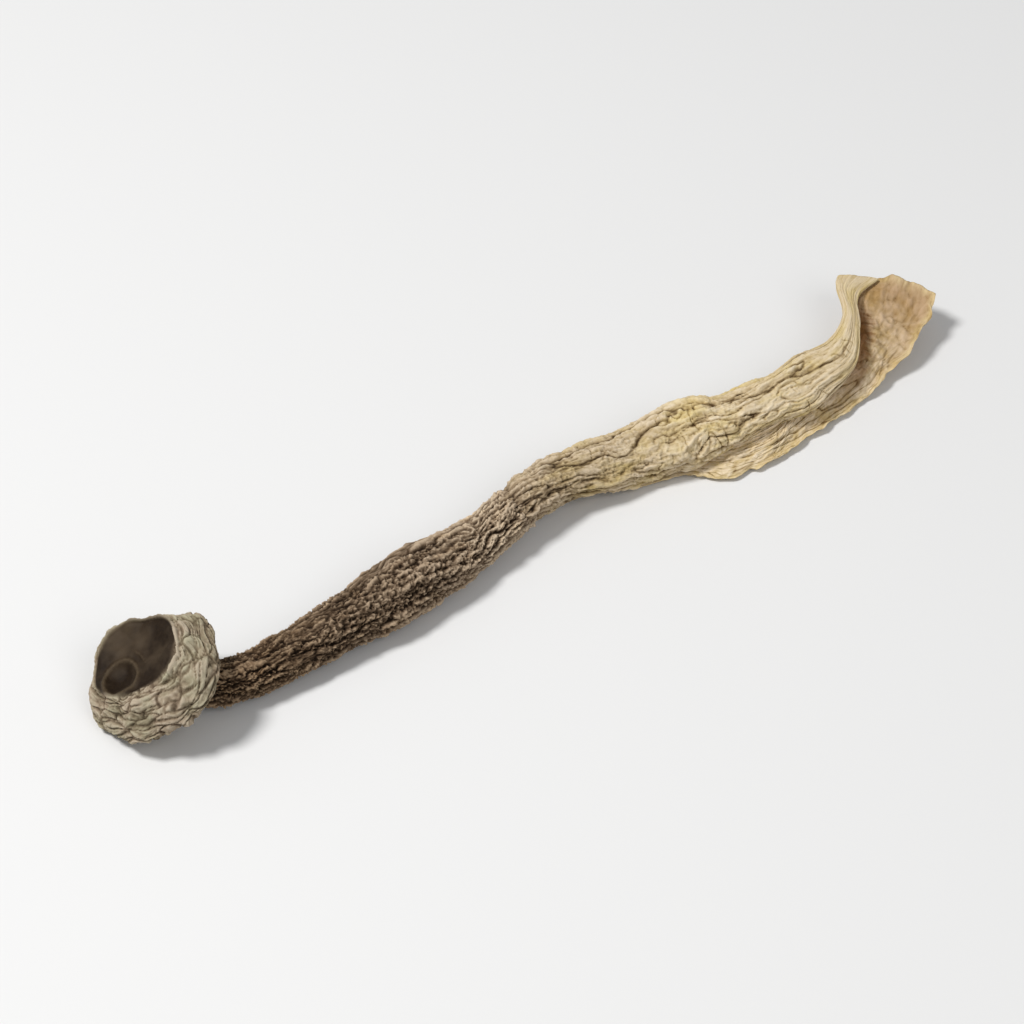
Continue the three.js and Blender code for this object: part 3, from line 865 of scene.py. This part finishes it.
def dark_stem_finish(piece):
    """Dark brown flesh at the cap that turns greyer along the stem, paler and frayed towards the
    kink, darkest in its furrows, with shaded patches, pits and pale flecks."""
    finish = Finish("dried_dark_stem")
    relief, along, frayed = finish.field("relief"), finish.field("along"), finish.field("frayed")
    fine = finish.grain(2.6, 4, (0.45, 1, 1))
    patch = finish.grain(0.22, 2)
    depth = relief * 1.3 + (fine - 0.5) * 0.55 - 0.15
    dark = finish.ramp(depth, (0.15, (0.012, 0.0065, 0.003)), (0.4, (0.046, 0.027, 0.014)),
                       (0.6, (0.104, 0.066, 0.038)), (0.9, (0.3, 0.21, 0.13)))
    grey = finish.ramp(depth, (0.12, (0.025, 0.014, 0.007)), (0.35, (0.12, 0.08, 0.048)),
                       (0.57, (0.28, 0.205, 0.138)), (0.9, (0.56, 0.44, 0.315)))
    worn = finish.ramp(depth, (0.12, (0.032, 0.018, 0.009)), (0.38, (0.135, 0.092, 0.057)),
                       (0.6, (0.265, 0.196, 0.13)), (0.9, (0.56, 0.445, 0.315)))
    colour = finish.mix(finish.between(along, 0.08, 0.42), dark, grey)
    colour = finish.mix(frayed, colour, worn)
    shade = finish.between(patch, 0.35, 0.7) * 0.3
    colour = finish.tinted(shade, colour, (0.74, 0.66, 0.56))
    pits = finish.between(finish.grain(0.95, 3, (0.6, 1, 1)), 0.52, 0.7) * 0.6
    colour = finish.tinted(pits, colour, (0.5, 0.42, 0.36))
    flecks = finish.between(finish.grain(0.7, 3, (0.4, 1, 1)), 0.54, 0.72) * 0.55
    colour = finish.tinted(flecks, colour, (1.55, 1.5, 1.35))
    finish.wear(piece, colour, 0.95 - 0.15 * depth, depth, 0.6)


def pale_stem_finish(piece):
    """Fibrous flesh, grey-brown at the kink and pale straw towards the root, with olive stains
    and brown in every crease."""
    finish = Finish("dried_pale_stem")
    relief, along = finish.field("relief"), finish.field("along")
    hair = finish.grain(3.0, 3, (0.12, 1, 1))
    fine = finish.grain(2.6, 3, (0.5, 1, 1))
    patch = finish.grain(0.25, 2)
    stain = finish.grain(0.35, 3, (0.4, 1, 1))
    depth = relief + (hair - 0.5) * 0.5 + (fine - 0.5) * 0.4
    brown = finish.ramp(depth, (0.12, (0.02, 0.011, 0.005)), (0.38, (0.14, 0.094, 0.056)),
                        (0.6, (0.3, 0.222, 0.142)), (0.9, (0.56, 0.445, 0.315)))
    straw = finish.ramp(depth, (0.08, (0.07, 0.038, 0.014)), (0.33, (0.37, 0.27, 0.145)),
                        (0.58, (0.6, 0.475, 0.29)), (0.92, (0.76, 0.64, 0.46)))
    colour = finish.mix(finish.between(along, 0.44, 0.72), brown, straw)
    olive = finish.between(stain, 0.45, 0.68) * finish.between(along, 0.42, 0.56) * 0.75
    colour = finish.tinted(olive, colour, (0.92, 0.87, 0.5))
    shade = finish.between(patch, 0.35, 0.7) * 0.3
    colour = finish.tinted(shade, colour, (0.76, 0.68, 0.58))
    finish.wear(piece, colour, 0.92 - 0.15 * depth, depth, 0.6)


def leaf_finish(piece):
    """Thin pale straw skin, pinkish brown towards the tip and yellow along its edge, with olive
    blotches, brown spots and painted shade, in brown, beside and under the flap's edge."""
    finish = Finish("dried_leaf")
    relief, share, brim = finish.field("relief"), finish.field("share"), finish.field("brim")
    hollow = finish.field("hollow")
    fine = finish.grain(2.2, 4, (0.35, 1, 1))
    stain = finish.grain(0.4, 3)
    depth = relief + (fine - 0.5) * 0.6
    colour = finish.ramp(depth, (0.06, (0.13, 0.072, 0.028)), (0.3, (0.42, 0.31, 0.165)),
                         (0.58, (0.62, 0.5, 0.32)), (0.9, (0.78, 0.65, 0.47)))
    tip = finish.between(share, 0.6, 0.92) * 0.95
    colour = finish.tinted(tip, colour, (0.6, 0.48, 0.38))
    edge = brim * finish.between(fine, 0.3, 0.62) * 0.75
    colour = finish.mix(edge, colour, (0.7, 0.56, 0.3))
    blotch = finish.between(stain, 0.44, 0.66) * 0.8
    colour = finish.tinted(blotch, colour, (0.8, 0.72, 0.46))
    spots = finish.between(finish.grain(0.9, 4), 0.56, 0.74) * 0.4
    colour = finish.tinted(spots, colour, (0.62, 0.46, 0.3))
    # Painted shade beside and under the flap's edge.
    colour = finish.tinted(hollow * 0.9, colour, (0.37, 0.2, 0.08))
    finish.wear(piece, colour, 0.92 - 0.15 * depth, depth, 0.5)


def cap_finish(piece):
    """Smooth dark taupe dish with paler patches of painted sheen, grey-beige crackled side with a
    green cast in places, olive-tan gills below."""
    finish = Finish("dried_cap")
    relief, dish, gills = finish.field("relief"), finish.field("dish"), finish.field("gills")
    fine = finish.grain(2.6, 4)
    patch = finish.grain(0.25, 2)
    depth = relief + (fine - 0.5) * 0.55
    side = finish.ramp(depth, (0.08, (0.035, 0.022, 0.013)), (0.3, (0.16, 0.115, 0.075)),
                       (0.55, (0.285, 0.22, 0.152)), (0.9, (0.43, 0.355, 0.262)))
    green = finish.between(patch, 0.42, 0.62) * 0.6
    side = finish.tinted(green, side, (0.86, 1.0, 0.9))
    skin = finish.ramp(depth, (0.2, (0.011, 0.006, 0.003)), (0.5, (0.0225, 0.013, 0.006)),
                       (0.95, (0.088, 0.062, 0.035)))
    below = finish.ramp(depth, (0.05, (0.09, 0.055, 0.025)), (0.5, (0.32, 0.24, 0.12)),
                        (0.95, (0.5, 0.4, 0.22)))
    # Painted sheen: paler patches laid at random over the dark dish.
    painted_sheen = finish.between(finish.grain(0.16, 3), 0.42, 0.66) * 0.8
    skin = finish.mix(painted_sheen, skin, (0.068, 0.047, 0.028))
    colour = finish.mix(dish, side, skin)
    colour = finish.mix(gills, colour, below)
    finish.wear(piece, colour, 0.9 - 0.25 * dish, depth, 0.5)


# ------------------------------------------------------------------ the pieces

def belongs(piece):
    """Every surface rides on the one body and stands for the one node."""
    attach(piece, "root")
    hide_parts("mushroom")


for name, grid, finish in (
    ("dark_stem", dark_stem_grid(), dark_stem_finish),
    ("pale_stem", pale_stem_grid(), pale_stem_finish),
    ("root_leaf", leaf_grid(), leaf_finish),
    ("cap", cap_grid(), cap_finish),
):
    piece = placed(name, grid)
    finish(piece)
    belongs(piece)


# ------------------------------------------------------------------ floor, light and camera

FLOOR_REACH = 3.0                       # metres from here on, and degrees
FLOOR_COLOUR, FLOOR_ROUGHNESS = (0.74, 0.735, 0.725), 0.9
AZIMUTH, ELEVATION = -34.4, 45.0
DISTANCE, LENS = 0.52, 131.6
AIM = Vector((-0.0026, 0.0032, 0))
SKY_COLOUR, SKY_STRENGTH = (0.95, 0.97, 1.0, 1), 0.33


def floor():
    """A plain pale square under the mushroom."""
    mesh = bpy.data.meshes.new("floor")
    corners = [(-FLOOR_REACH, -FLOOR_REACH, 0), (FLOOR_REACH, -FLOOR_REACH, 0),
               (FLOOR_REACH, FLOOR_REACH, 0), (-FLOOR_REACH, FLOOR_REACH, 0)]
    mesh.from_pydata(corners, [], [(0, 1, 2, 3)])
    ground = bpy.data.objects.new("floor", mesh)
    bpy.context.scene.collection.objects.link(ground)
    finish = Finish("floor")
    finish.feed(finish.shader.inputs["Base Color"], FLOOR_COLOUR)
    finish.feed(finish.shader.inputs["Roughness"], FLOOR_ROUGHNESS)
    mesh.materials.append(finish.material)


def aimed(name, data, azimuth, elevation, distance):
    """Holds a lamp or camera at a distance from the point it is aimed at, in the direction
    (sine of azimuth, minus cosine of azimuth) times cosine of elevation, and sine of elevation."""
    turn, climb = math.radians(azimuth), math.radians(elevation)
    back = Vector((math.sin(turn) * math.cos(climb), -math.cos(turn) * math.cos(climb),
                   math.sin(climb)))
    holder = bpy.data.objects.new(name, data)
    holder.location = AIM + back * distance
    holder.rotation_euler = back.to_track_quat("Z", "Y").to_euler()
    bpy.context.scene.collection.objects.link(holder)
    return holder


def lamp(name, azimuth, elevation, distance, size, power):
    """A round soft lamp."""
    light = bpy.data.lights.new(name, "AREA")
    light.shape = "DISK"
    light.size = size
    light.energy = power
    aimed(name, light, azimuth, elevation, distance)


def camera():
    """The camera, which looks down at the mushroom from one side."""
    data = bpy.data.cameras.new("camera")
    data.lens = LENS
    data.clip_start = 0.01
    bpy.context.scene.camera = aimed("camera", data, AZIMUTH, ELEVATION, DISTANCE)


floor()
lamp("key", AZIMUTH - 80, 60, 0.8, 0.2, 5.4)
lamp("fill", AZIMUTH + 40, 45, 0.9, 0.6, 1.7)
camera()

world = bpy.data.worlds.new("studio")
world.use_nodes = True
sky = world.node_tree.nodes["Background"]
sky.inputs["Color"].default_value = SKY_COLOUR
sky.inputs["Strength"].default_value = SKY_STRENGTH
bpy.context.scene.world = world
bpy.context.scene.view_settings.view_transform = "Standard"
